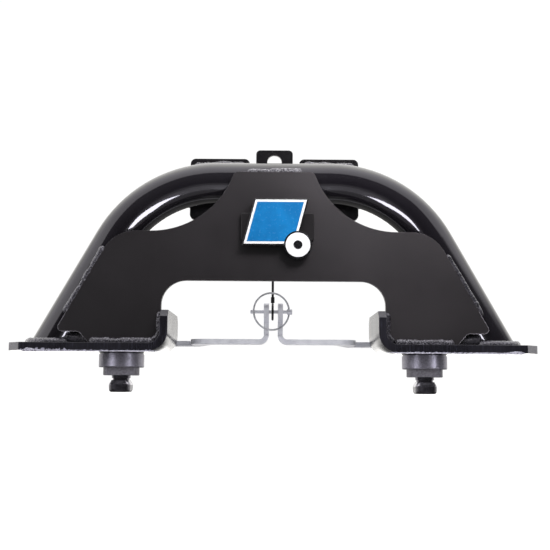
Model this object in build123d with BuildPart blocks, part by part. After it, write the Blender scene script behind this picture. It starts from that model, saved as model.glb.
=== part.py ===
from build123d import *
import math
import os

# Puck-mounted fifth wheel hitch leg: a bent tube arch with a web plate in front of it,
# standing on two bent feet whose anchors drop into a puck system.
# Origin midway between the two anchor axes, on the underside plane of the feet.
# +X to the right, +Y away from the emblem side (to the rear), +Z up. Millimetres.

os.makedirs("parts", exist_ok=True)

# ---- dimensions shared between pieces ---------------------------------------
sides = (("left", -1), ("right", 1))

puck_spacing = 558.8            # anchor axis to anchor axis, 22 in
puck_x = puck_spacing / 2
weld_gap = 0.1                  # fit-up gap between welded pieces

tube_od = 76.2                  # 3 in round tube
tube_wall = 6.35
arch_angle = math.radians(60.8)  # leg angle from horizontal

foot_t = 14.3                   # 9/16 in plate
flange_out_x = 200.4            # face of the upturned flange nearer the puck
weld_foot_z = foot_t + weld_gap  # bottom of what stands on the feet

web_t = 9.4
web_front_y = -69.0
tube_y = web_front_y + web_t + weld_gap + tube_od / 2
plate_front_y = tube_y + tube_od / 2 + weld_gap  # front face of the plates behind the tube

tab_t = 9.5                     # lift tab
tab_bottom_z = 262.0
cable_x = -1.5
cable_hole_z = tab_bottom_z + 9

collar_h = 27.4
boss_h = 14.6
boss_bottom_z = -collar_h - boss_h
shaft_r = 12.70                 # anchor shaft
shaft_flats = 18.0              # across the two flats that carry the handle
thread_r = 8.9                  # upper end of the anchor, inside the nut
bush_inner_r = 12.75
bush_outer_r = 16.0

thrust_washer_t = 3.2
top_washer_t = 3.0
handle_t = 9.5
handle_z = foot_t + thrust_washer_t
handle_top_z = handle_z + handle_t
nut_z = handle_top_z + top_washer_t

eye_y = 27.0                    # axis of the lock pin
eye_z = 79.3


# ---- helpers ----------------------------------------------------------------
def export_part(part, name):
    part.label = name
    export_step(part, f"parts/{name}.step")


def plane_at_y(y):
    """XZ plane at y. A positive extrusion runs to the front, a negative one to the rear."""
    return Plane.XZ.offset(-y)


def on_side(side, points):
    """Points given for the right-hand side, mirrored to the left when side is -1."""
    return [(side * x, other) for x, other in points]


def quarter_arc(centre_x, centre_z, radius):
    """Start, middle and end of the lower quarter of a circle on its -X side."""
    reach = radius * math.sin(math.pi / 4)
    return [(centre_x, centre_z - radius),
            (centre_x - reach, centre_z - reach),
            (centre_x - radius, centre_z)]


def edges_at(builder, direction, axis, position):
    """Edges parallel to direction whose centre lies at position along axis."""
    edges = builder.edges().filter_by(direction)
    return edges.filter_by_position(axis, position - 0.5, position + 0.5)


# ---- arch tube --------------------------------------------------------------
arch_axis_z = 315.0             # height of the tube axis over the foot plane
arch_corner_x = 231.8           # where the straight top and leg axes cross
arch_bend_r = 216.0             # centreline bend radius
leg_overrun = 40.0              # how far the axis runs on below the foot plane

bend_tangent = arch_bend_r * math.tan(arch_angle / 2)
bend_start_x = arch_corner_x - bend_tangent
bend_mid_x = bend_start_x + arch_bend_r * math.sin(arch_angle / 2)
bend_mid_z = arch_axis_z - arch_bend_r + arch_bend_r * math.cos(arch_angle / 2)
bend_end_x = arch_corner_x + bend_tangent * math.cos(arch_angle)
bend_end_z = arch_axis_z - bend_tangent * math.sin(arch_angle)
leg_end_x = bend_end_x + (bend_end_z + leg_overrun) / math.tan(arch_angle)
leg_end_z = -leg_overrun

with BuildPart() as arch_tube:
    with BuildLine(plane_at_y(tube_y)) as arch_path:
        Line((-leg_end_x, leg_end_z), (-bend_end_x, bend_end_z))
        ThreePointArc((-bend_end_x, bend_end_z), (-bend_mid_x, bend_mid_z),
                      (-bend_start_x, arch_axis_z))
        Line((-bend_start_x, arch_axis_z), (bend_start_x, arch_axis_z))
        ThreePointArc((bend_start_x, arch_axis_z), (bend_mid_x, bend_mid_z),
                      (bend_end_x, bend_end_z))
        Line((bend_end_x, bend_end_z), (leg_end_x, leg_end_z))
    with BuildSketch(arch_path.line ^ 0):
        Circle(tube_od / 2)
        Circle(tube_od / 2 - tube_wall, mode=Mode.SUBTRACT)
    sweep()
    # both ends are cut flat where they stand on the feet
    split(bisect_by=Plane.XY.offset(weld_foot_z), keep=Keep.TOP)
export_part(arch_tube.part, "arch_tube")

# ---- web plate --------------------------------------------------------------
web_top_z = 326.3
web_scoop_r = 157.0             # concave arc from the top edge down to the shoulder
web_scoop_x = 222.0
web_scoop_mid_angle = math.radians(235)
web_scoop_fillet = 10.0
web_shoulder_z = 216.9
web_shoulder_r = 65.0
web_leg_x = 372.5               # a point on the web's outer edge beside the leg
web_leg_z = 64.6
web_toe_z = 34.4
web_toe_fillet = 8.0
web_heel_x = 346.5              # from here the lower edge slopes down to the foot
web_heel_fillet = 7.0
web_foot_x = 328.5              # where that slope meets the foot
web_notch_r = 24.0              # clears the bend of the foot
web_window_z = 127.0            # top of the opening between the feet
web_window_r = 44.0

web_scoop_z = web_shoulder_z + web_scoop_r
scoop_top_x = web_scoop_x - math.sqrt(web_scoop_r ** 2 - (web_scoop_z - web_top_z) ** 2)
shoulder_corner_x = web_leg_x - (web_shoulder_z - web_leg_z) / math.tan(arch_angle)
toe_x = web_leg_x + (web_leg_z - web_toe_z) / math.tan(arch_angle)
web_inner_x = flange_out_x + weld_gap
notch_x = web_inner_x + web_notch_r
notch_z = weld_foot_z + web_notch_r

with BuildPart() as web_plate:
    # right half, mirrored at the end
    with BuildSketch(plane_at_y(web_front_y)):
        with BuildLine():
            Line((0, web_top_z), (scoop_top_x, web_top_z))
            ThreePointArc(
                (scoop_top_x, web_top_z),
                (web_scoop_x + web_scoop_r * math.cos(web_scoop_mid_angle),
                 web_scoop_z + web_scoop_r * math.sin(web_scoop_mid_angle)),
                (web_scoop_x, web_shoulder_z))
            Polyline((web_scoop_x, web_shoulder_z), (shoulder_corner_x, web_shoulder_z),
                     (toe_x, web_toe_z), (web_heel_x, web_toe_z), (web_foot_x, weld_foot_z),
                     (notch_x, weld_foot_z))
            ThreePointArc(*quarter_arc(notch_x, notch_z, web_notch_r))
            Polyline((web_inner_x, notch_z), (web_inner_x, web_window_z), (0, web_window_z),
                     (0, web_top_z))
        make_face()
    extrude(amount=-web_t)
    fillet(edges_at(web_plate, Axis.Y, Axis.X, scoop_top_x), web_scoop_fillet)
    fillet(edges_at(web_plate, Axis.Y, Axis.X, shoulder_corner_x), web_shoulder_r)
    fillet(edges_at(web_plate, Axis.Y, Axis.X, toe_x), web_toe_fillet)
    fillet(edges_at(web_plate, Axis.Y, Axis.X, web_heel_x), web_heel_fillet)
    window_edges = edges_at(web_plate, Axis.Y, Axis.Z, web_window_z)
    fillet(window_edges.filter_by_position(Axis.X, web_inner_x - 10, web_inner_x + 10),
           web_window_r)
    mirror(about=Plane.YZ)
export_part(web_plate.part, "web_plate")

# ---- bent feet --------------------------------------------------------------
foot_depth = 174.0
foot_end_x = 471.0
foot_corner = 24.0              # chamfer on the outer corners
flange_in_x = flange_out_x - foot_t
flange_top_z = 73.6
flange_corner = 12.0
foot_bend_in_r = 20.0
foot_bend_out_r = foot_bend_in_r + foot_t


def build_foot(side):
    # both faces of the bend share the centre (bend_x, foot_bend_out_r)
    bend_x = flange_in_x + foot_bend_out_r
    under_arc = quarter_arc(bend_x, foot_bend_out_r, foot_bend_out_r)
    upper_arc = quarter_arc(bend_x, foot_bend_out_r, foot_bend_in_r)[::-1]
    flange = [(flange_in_x, foot_bend_out_r), (flange_in_x, flange_top_z),
              (flange_out_x, flange_top_z), (flange_out_x, foot_bend_out_r)]
    flat_end = [(bend_x, foot_t), (foot_end_x, foot_t), (foot_end_x, 0)]
    with BuildPart() as foot:
        with BuildSketch(plane_at_y(-foot_depth / 2)):
            with BuildLine():
                Line(*on_side(side, [(foot_end_x, 0), (bend_x, 0)]))
                ThreePointArc(*on_side(side, under_arc))
                Polyline(*on_side(side, flange))
                ThreePointArc(*on_side(side, upper_arc))
                Polyline(*on_side(side, flat_end))
            make_face()
        extrude(amount=-foot_depth)
        chamfer(edges_at(foot, Axis.Z, Axis.X, side * foot_end_x), foot_corner)
        chamfer(foot.edges().filter_by(Axis.X).group_by(Axis.Z)[-1], flange_corner)
        # hole for the anchor bushing
        with Locations((side * puck_x, 0, foot_t)):
            Hole(bush_outer_r, depth=foot_t)
    return foot.part


for hand, side in sides:
    export_part(build_foot(side), f"{hand}_foot_plate")

# ---- head brackets behind the tube ------------------------------------------
bracket_x0 = 47.2
bracket_x1 = 160.2
bracket_z0 = 253.6
bracket_z1 = 371.7
bracket_t = 12.7
bracket_corner_r = 10.0
bracket_hole_r = 7.0
bracket_hole_dx = 60.0
bracket_hole_dz = 40.0


def build_bracket(side):
    centre = (side * (bracket_x0 + bracket_x1) / 2, (bracket_z0 + bracket_z1) / 2)
    with BuildPart() as bracket:
        with BuildSketch(plane_at_y(plate_front_y)):
            with Locations(centre):
                RectangleRounded(bracket_x1 - bracket_x0, bracket_z1 - bracket_z0,
                                 bracket_corner_r)
        extrude(amount=-bracket_t)
        # four fixing holes for the head
        with BuildSketch(plane_at_y(plate_front_y + bracket_t)):
            with Locations(centre):
                with GridLocations(bracket_hole_dx, bracket_hole_dz, 2, 2):
                    Circle(bracket_hole_r)
        extrude(amount=bracket_t, mode=Mode.SUBTRACT)
        chamfer(bracket.faces().sort_by(Axis.Y)[-1].outer_wire().edges(), 1.0)
    return bracket.part


for hand, side in sides:
    export_part(build_bracket(side), f"{hand}_head_bracket")

# ---- lift tab behind the tube -----------------------------------------------
tab_width = 70.0
tab_top_z = 389.0
tab_corner_r = 8.0
tab_eye_z = 366.0
tab_eye_r = 13.9
tab_cable_hole_r = 3.0

with BuildPart() as lift_tab:
    with BuildSketch(plane_at_y(plate_front_y)):
        with Locations((0, (tab_top_z + tab_bottom_z) / 2)):
            RectangleRounded(tab_width, tab_top_z - tab_bottom_z, tab_corner_r)
        with Locations((0, tab_eye_z)):
            Circle(tab_eye_r, mode=Mode.SUBTRACT)
        with Locations((cable_x, cable_hole_z)):
            Circle(tab_cable_hole_r, mode=Mode.SUBTRACT)
    extrude(amount=-tab_t)
export_part(lift_tab.part, "lift_tab")

# ---- puck collars and anchor bushings ---------------------------------------
collar_r = 41.3
groove_bottom_z = -3.2
groove_h = 2.4
groove_depth = 1.6
boss_len = 66.0
boss_flats = 40.6               # across the flats
bush_recess = 0.6               # bushing stops this far above the boss's lower face


def build_collar(side):
    with BuildPart() as collar:
        with BuildSketch(Plane.XY.offset(-collar_h)):
            with Locations((side * puck_x, 0)):
                Circle(collar_r)
        extrude(amount=collar_h)
        # shallow groove round the side just under the foot, and a broken lower edge
        with BuildSketch(Plane.XY.offset(groove_bottom_z)):
            with Locations((side * puck_x, 0)):
                Circle(collar_r)
                Circle(collar_r - groove_depth, mode=Mode.SUBTRACT)
        extrude(amount=groove_h, mode=Mode.SUBTRACT)
        chamfer(collar.faces().sort_by(Axis.Z)[0].edges(), 1.2)
        # key boss with two flats, which stops the hitch from turning in the puck
        with BuildSketch(Plane.XY.offset(boss_bottom_z)):
            with Locations((side * puck_x, 0)):
                Circle(boss_len / 2)
                Rectangle(boss_len, boss_flats, mode=Mode.INTERSECT)
        extrude(amount=boss_h)
        chamfer(collar.faces().sort_by(Axis.Z)[0].edges(), 1.0)
        # bore for the bushing
        with BuildSketch(Plane.XY.offset(boss_bottom_z)):
            with Locations((side * puck_x, 0)):
                Circle(bush_outer_r)
        extrude(amount=collar_h + boss_h, mode=Mode.SUBTRACT)
    return collar.part


def build_bushing(side):
    bottom_z = boss_bottom_z + bush_recess
    with BuildPart() as bushing:
        with BuildSketch(Plane.XY.offset(bottom_z)):
            with Locations((side * puck_x, 0)):
                Circle(bush_outer_r)
                Circle(bush_inner_r, mode=Mode.SUBTRACT)
        extrude(amount=foot_t - bottom_z)
    return bushing.part


for hand, side in sides:
    export_part(build_collar(side), f"{hand}_puck_collar")
    export_part(build_bushing(side), f"{hand}_anchor_bushing")

# ---- anchors ----------------------------------------------------------------
neck_r = 17.4
neck_waist_r = 15.6             # the neck narrows just above the T-head
neck_waist_h = 3.4
neck_top_z = boss_bottom_z - 0.3
neck_bottom_z = boss_bottom_z - 8.8
head_len = 66.0
head_w = 39.4
head_h = 21.5
shaft_top_z = 56.0


def build_anchor(side):
    with BuildPart() as anchor:
        # T-head: a round-ended bar, long along Y, across the key boss
        with BuildSketch(Plane.XY.offset(neck_bottom_z - head_h)):
            with Locations((side * puck_x, 0)):
                SlotOverall(head_len, head_w, rotation=90)
        extrude(amount=head_h)
        head_top = anchor.faces().sort_by(Axis.Z)[-1]
        chamfer(head_top.edges(), 4.0, 7.0, reference=head_top)
        fillet(anchor.faces().sort_by(Axis.Z)[0].edges(), 5.0)
        # round sections stacked on the head: waist, neck, shaft
        for z0, z1, radius in (
                (neck_bottom_z, neck_top_z, neck_waist_r),
                (neck_bottom_z + neck_waist_h, neck_top_z, neck_r),
                (neck_top_z, handle_z, shaft_r)):
            with BuildSketch(Plane.XY.offset(z0)):
                with Locations((side * puck_x, 0)):
                    Circle(radius)
            extrude(amount=z1 - z0)
        # two flats drive the anchor from the handle
        with BuildSketch(Plane.XY.offset(handle_z)):
            with Locations((side * puck_x, 0)):
                Circle(shaft_r)
                Rectangle(2 * shaft_r, shaft_flats, mode=Mode.INTERSECT)
        extrude(amount=handle_t)
        with BuildSketch(Plane.XY.offset(handle_top_z)):
            with Locations((side * puck_x, 0)):
                Circle(thread_r)
        extrude(amount=shaft_top_z - handle_top_z)
        chamfer(anchor.faces().sort_by(Axis.Z)[-1].edges(), 1.5)
    return anchor.part


for hand, side in sides:
    export_part(build_anchor(side), f"{hand}_anchor")

# ---- washers and nuts -------------------------------------------------------
# name, underside z, thickness, outer radius, bore radius
washers = (
    ("thrust_washer", foot_t, thrust_washer_t, 28.5, shaft_r + 0.4),
    ("top_washer", handle_top_z, top_washer_t, 22.0, thread_r + 0.3),
)
nut_flats = 30.0                # across the flats
nut_bore_r = thread_r + 0.05
nut_h = 15.0
nut_collar_r = 13.2
nut_collar_h = 4.0


def build_washer(side, z0, thickness, outer_r, bore_r):
    with BuildPart() as washer:
        with BuildSketch(Plane.XY.offset(z0)):
            with Locations((side * puck_x, 0)):
                Circle(outer_r)
                Circle(bore_r, mode=Mode.SUBTRACT)
        extrude(amount=thickness)
        chamfer(washer.faces().sort_by(Axis.Z)[-1].outer_wire().edges(), 0.5)
    return washer.part


def build_nut(side):
    with BuildPart() as nut:
        with BuildSketch(Plane.XY.offset(nut_z)):
            with Locations((side * puck_x, 0)):
                RegularPolygon(radius=nut_flats / 2, side_count=6, major_radius=False)
                Circle(nut_bore_r, mode=Mode.SUBTRACT)
        extrude(amount=nut_h)
        chamfer(nut.faces().sort_by(Axis.Z)[-1].outer_wire().edges(), 0.8)
        # collar that holds the locking insert
        with BuildSketch(Plane.XY.offset(nut_z + nut_h)):
            with Locations((side * puck_x, 0)):
                Circle(nut_collar_r)
                Circle(nut_bore_r, mode=Mode.SUBTRACT)
        extrude(amount=nut_collar_h)
        fillet(nut.faces().sort_by(Axis.Z)[-1].outer_wire().edges(), 1.5)
    return nut.part


for hand, side in sides:
    for name, *dimensions in washers:
        export_part(build_washer(side, *dimensions), f"{hand}_{name}")
    export_part(build_nut(side), f"{hand}_anchor_nut")

# ---- lock handles -----------------------------------------------------------
hub_r = 30.0
bar_y0 = 14.0                   # front and rear edges of the bar to the middle
bar_y1 = 43.0
grip_in_x = 156.0               # the handle loops back round these edges
grip_in_y = 98.0
grip_in_end_x = 214.0
grip_out_y = 143.0
elbow_x = 119.0
upturn_x0 = 8.4                 # faces of the upturned end
upturn_x1 = upturn_x0 + handle_t
upturn_bend_r = 8.0             # inside radius
upturn_top_z = 95.3
upturn_corner_r = 11.0
eye_hole_r = 4.2

bend_x = upturn_x1 + upturn_bend_r      # centre of the upturned bend
bend_z = handle_top_z + upturn_bend_r

# flat part seen from above: x on the right-hand side, y
handle_outline = (
    (255.5, -14), (grip_in_end_x, grip_in_y), (grip_in_x, grip_in_y), (grip_in_x, bar_y0),
    (bend_x, bar_y0), (bend_x, bar_y1), (108, bar_y1), (elbow_x, 52),
    (149, grip_out_y), (230, grip_out_y), (302, 14), (puck_x, -20), (255.5, -14),
)
# cut in the neck below the eye: y behind the bar's front edge, z
neck_cut = ((-5, 33), (8, 33), (12.5, 37.5), (12.5, 58), (0, 67), (-5, 67), (-5, 33))


def build_handle(side):
    under_arc = quarter_arc(bend_x, bend_z, upturn_bend_r + handle_t)
    upper_arc = quarter_arc(bend_x, bend_z, upturn_bend_r)[::-1]
    upturn = [(upturn_x0, bend_z), (upturn_x0, upturn_top_z),
              (upturn_x1, upturn_top_z), (upturn_x1, bend_z)]
    with BuildPart() as handle:
        with BuildSketch(Plane.XY.offset(handle_z)):
            with BuildLine():
                Polyline(*on_side(side, handle_outline))
            make_face()
            with Locations((side * puck_x, 0)):
                Circle(hub_r)
        extrude(amount=handle_t)
        # rear, then front, corner of the grip's inner edge
        fillet(edges_at(handle, Axis.Z, Axis.X, side * grip_in_x).group_by(Axis.Y)[-1], 6)
        fillet(edges_at(handle, Axis.Z, Axis.X, side * grip_in_x).group_by(Axis.Y)[0], 25)
        fillet(edges_at(handle, Axis.Z, Axis.Y, grip_out_y), 16)
        fillet(edges_at(handle, Axis.Z, Axis.X, side * elbow_x), 14)
        fillet(edges_at(handle, Axis.Z, Axis.X, side * grip_in_end_x)
               .filter_by_position(Axis.Y, grip_in_y - 0.1, grip_in_y + 0.1), 6)
        # upturned end: bend, neck and eye
        with BuildSketch(plane_at_y(bar_y0)):
            with BuildLine():
                ThreePointArc(*on_side(side, under_arc))
                Polyline(*on_side(side, upturn))
                ThreePointArc(*on_side(side, upper_arc))
                Line(*on_side(side, [(bend_x, handle_top_z), (bend_x, handle_z)]))
            make_face()
        extrude(amount=-(bar_y1 - bar_y0))
        # the neck below the eye is cut back at the front
        with BuildSketch(Plane.YZ):
            with BuildLine():
                Polyline(*[(bar_y0 + y, z) for y, z in neck_cut])
            make_face()
        extrude(amount=side * 24, mode=Mode.SUBTRACT)
        fillet(handle.edges().filter_by(Axis.X).group_by(Axis.Z)[-1], upturn_corner_r)
        # hole for the lock pin
        with BuildSketch(Plane.YZ.offset(side * 5)):
            with Locations((eye_y, eye_z)):
                Circle(eye_hole_r)
        extrude(amount=side * 20, mode=Mode.SUBTRACT)
        # double-D hole over the flats of the anchor shaft
        with BuildSketch(Plane.XY.offset(handle_z)):
            with Locations((side * puck_x, 0)):
                Circle(shaft_r + 0.05)
                Rectangle(2 * shaft_r + 1, shaft_flats + 0.1, mode=Mode.INTERSECT)
        extrude(amount=handle_t, mode=Mode.SUBTRACT)
    return handle.part


for hand, side in sides:
    export_part(build_handle(side), f"{hand}_lock_handle")

# ---- lock pin ---------------------------------------------------------------
pin_r = 3.175
pin_tip_x = -43.5
pin_tip_r = 3.75
pin_head_x0 = 25.5
pin_head_x1 = 35.5
pin_head_r = 5.2
ring_hole_r = 2.3               # leaves room for the curved wire to turn
ring_x = 29.7

# x, distance from the pin's axis
pin_profile = (
    (pin_tip_x, 0), (pin_tip_x, 2.6), (pin_tip_x + 1.2, pin_tip_r),
    (pin_tip_x + 4.6, pin_tip_r), (pin_tip_x + 6.2, pin_r),
    (pin_head_x0, pin_r), (pin_head_x0, pin_head_r - 0.8),
    (pin_head_x0 + 0.8, pin_head_r), (pin_head_x1 - 1.0, pin_head_r),
    (pin_head_x1, pin_head_r - 1.0), (pin_head_x1, 0), (pin_tip_x, 0),
)

with BuildPart() as lock_pin:
    with BuildSketch(plane_at_y(eye_y)):
        with BuildLine():
            Polyline(*[(x, eye_z + radius) for x, radius in pin_profile])
        make_face()
    revolve(axis=Axis((0, eye_y, eye_z), (1, 0, 0)))
    # upright cross hole for the ring
    with BuildSketch(Plane.XY.offset(eye_z - 10)):
        with Locations((ring_x, eye_y)):
            Circle(ring_hole_r)
    extrude(amount=20, mode=Mode.SUBTRACT)
export_part(lock_pin.part, "lock_pin")

# ---- wire ring through the cross hole of the pin's head ---------------------
ring_wire_r = 1.75
ring_r = 34.65                  # centreline radius
ring_angle = math.radians(16.0)  # turn about the cross hole, towards the front

ring_plane = Plane(origin=(ring_x, eye_y, eye_z),
                   x_dir=(-math.cos(ring_angle), -math.sin(ring_angle), 0),
                   z_dir=(-math.sin(ring_angle), math.cos(ring_angle), 0))
with BuildPart() as pin_ring:
    with Locations(ring_plane.location * Location((ring_r, 0, 0))):
        Torus(ring_r, ring_wire_r)
export_part(pin_ring.part, "pin_ring")

# ---- lanyard ----------------------------------------------------------------
cable_r = 2.3
cable_top_y = plate_front_y + tab_t + 3.4
loop_r = 14.4                   # loop round the pin, centreline
loop_wire_r = 2.1
loop_top_z = eye_z + loop_r + loop_wire_r
cable_bend_z = 118.0            # the cable hangs straight below this height

with BuildPart() as lanyard_cable:
    with BuildLine(Plane.YZ.offset(cable_x)) as cable_path:
        Line((cable_top_y, cable_hole_z + 2), (cable_top_y, cable_hole_z - 8))
        Bezier((cable_top_y, cable_hole_z - 8), (cable_top_y, 200), (eye_y, 190),
               (eye_y, cable_bend_z))
        Line((eye_y, cable_bend_z), (eye_y, loop_top_z + 0.6))
    with BuildSketch(cable_path.line ^ 1):
        Circle(cable_r)
    sweep(path=cable_path.line)
    # loop round the pin
    with BuildLine(Plane.YZ.offset(cable_x)) as loop_path:
        CenterArc((eye_y, eye_z), loop_r, 0, 360)
    with BuildSketch(Plane(origin=(cable_x, eye_y + loop_r, eye_z), z_dir=(0, 0, 1))):
        Circle(loop_wire_r)
    sweep(path=loop_path.line)
export_part(lanyard_cable.part, "lanyard_cable")

with BuildPart() as lanyard_ferrule:
    with BuildSketch(Plane.XY.offset(loop_top_z + 0.2)):
        with Locations((cable_x, eye_y)):
            Ellipse(3.6, 3.3)
            Circle(cable_r + 0.05, mode=Mode.SUBTRACT)
    extrude(amount=11)
export_part(lanyard_ferrule.part, "lanyard_ferrule")

with BuildPart() as lanyard_upper_clip:
    # eyelet that holds the cable end behind the lift tab
    with BuildSketch(plane_at_y(plate_front_y + tab_t + 0.1)):
        with Locations((cable_x, cable_hole_z)):
            Circle(6.0)
    extrude(amount=-6.8)
    # stud in the hole of the lift tab
    with BuildSketch(plane_at_y(plate_front_y + 0.6)):
        with Locations((cable_x, cable_hole_z)):
            Circle(tab_cable_hole_r - 0.1)
    extrude(amount=-(tab_t - 0.4))
    # upright hole for the cable
    with BuildSketch(Plane.XY.offset(cable_hole_z - 8)):
        with Locations((cable_x, cable_top_y)):
            Circle(cable_r + 0.05)
    extrude(amount=16.2, mode=Mode.SUBTRACT)
export_part(lanyard_upper_clip.part, "lanyard_upper_clip")

# ---- emblem: base, slanted panel with a disc over its lower corner, layers --
base_rear_y = web_front_y - 0.1
base_t = 8.0
body_t = 9.0
layer_t = 0.9
body_rear_y = base_rear_y - base_t - 0.1
layer_rear_y = body_rear_y - body_t - 0.02
panel_x0, panel_x1 = -57.0, 40.0        # ends of the lower edge
panel_z0, panel_z1 = 189.0, 274.0
panel_slant = 22.0                      # shift of the upper edge to the right
disc_centre = (43.0, 190.0)
disc_r = 25.0
border_outer_inset = 2.4
border_inner_inset = 6.6


def panel_outline(inset):
    """Corners of the slanted panel, moved in by inset on every side."""
    height = panel_z1 - panel_z0
    shift_x = inset * math.hypot(height, panel_slant) / height
    run = inset * panel_slant / height
    left_x = panel_x0 + shift_x
    right_x = panel_x1 - shift_x
    lower_left = (left_x + run, panel_z0 + inset)
    return [lower_left,
            (right_x + run, panel_z0 + inset),
            (right_x + panel_slant - run, panel_z1 - inset),
            (left_x + panel_slant - run, panel_z1 - inset),
            lower_left]


with BuildPart() as emblem_base:
    with BuildSketch(plane_at_y(base_rear_y)):
        with Locations((6.5, 224)):
            RectangleRounded(131, 50, 3)
    extrude(amount=base_t)
    fillet(emblem_base.faces().sort_by(Axis.Y)[0].edges(), 1.2)
export_part(emblem_base.part, "emblem_base")

with BuildPart() as emblem_body:
    with BuildSketch(plane_at_y(body_rear_y)):
        with BuildLine():
            Polyline(*panel_outline(0))
        make_face()
        with Locations(disc_centre):
            Circle(disc_r)
    extrude(amount=body_t)
    chamfer(emblem_body.faces().sort_by(Axis.Y)[0].edges(), 0.6)
export_part(emblem_body.part, "emblem_body")

with BuildPart() as emblem_border:
    with BuildSketch(plane_at_y(layer_rear_y)):
        with BuildLine():
            Polyline(*panel_outline(border_outer_inset))
        make_face()
        with BuildLine():
            Polyline(*panel_outline(border_inner_inset))
        make_face(mode=Mode.SUBTRACT)
        with Locations(disc_centre):
            Circle(disc_r, mode=Mode.SUBTRACT)
    extrude(amount=layer_t)
export_part(emblem_border.part, "emblem_border")

with BuildPart() as emblem_face:
    with BuildSketch(plane_at_y(layer_rear_y)):
        with BuildLine():
            Polyline(*panel_outline(border_inner_inset + 0.1))
        make_face()
        with Locations(disc_centre):
            Circle(disc_r, mode=Mode.SUBTRACT)
    extrude(amount=layer_t)
export_part(emblem_face.part, "emblem_face")

with BuildPart() as emblem_disc:
    with BuildSketch(plane_at_y(layer_rear_y)):
        with Locations(disc_centre):
            Circle(disc_r - 3.0)
            Circle(8.0, mode=Mode.SUBTRACT)
    extrude(amount=layer_t)
export_part(emblem_disc.part, "emblem_disc")
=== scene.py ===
"""A black tube arch standing on two foot plates, with a flat web plate filling its front.

The arch spans X and stands up Z. Its front, with the web, faces -Y, and "left" is -X. The
undersides of the feet lie at z = 0, and the collars and T-head anchors hang below them.
The script coats the loaded pieces, adds weld beads and torn cut lips, and sets the studio.
"""
import bpy
import bmesh
import math
import random
from mathutils import Vector, Matrix, noise


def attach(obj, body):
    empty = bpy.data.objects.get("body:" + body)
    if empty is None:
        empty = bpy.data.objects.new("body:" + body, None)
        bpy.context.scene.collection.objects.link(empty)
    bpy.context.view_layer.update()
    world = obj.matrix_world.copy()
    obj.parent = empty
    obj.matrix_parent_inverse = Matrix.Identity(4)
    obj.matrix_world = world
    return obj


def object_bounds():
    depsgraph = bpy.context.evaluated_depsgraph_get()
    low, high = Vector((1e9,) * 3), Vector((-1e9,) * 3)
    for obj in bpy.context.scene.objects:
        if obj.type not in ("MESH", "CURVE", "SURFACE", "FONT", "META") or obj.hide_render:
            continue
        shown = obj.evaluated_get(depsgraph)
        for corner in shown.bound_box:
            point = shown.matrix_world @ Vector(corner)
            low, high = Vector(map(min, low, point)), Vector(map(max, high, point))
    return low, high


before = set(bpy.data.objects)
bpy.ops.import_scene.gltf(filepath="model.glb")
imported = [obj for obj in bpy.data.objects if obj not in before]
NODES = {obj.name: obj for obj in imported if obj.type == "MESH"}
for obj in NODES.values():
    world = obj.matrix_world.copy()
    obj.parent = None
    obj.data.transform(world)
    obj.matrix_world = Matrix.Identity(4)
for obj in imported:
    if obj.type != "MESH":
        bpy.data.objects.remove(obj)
CAD_LO, CAD_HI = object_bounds()
SCENE = bpy.context.scene
MM = 0.001
SIDES = ((-1, "left"), (1, "right"))      # sign of x, name


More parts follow.
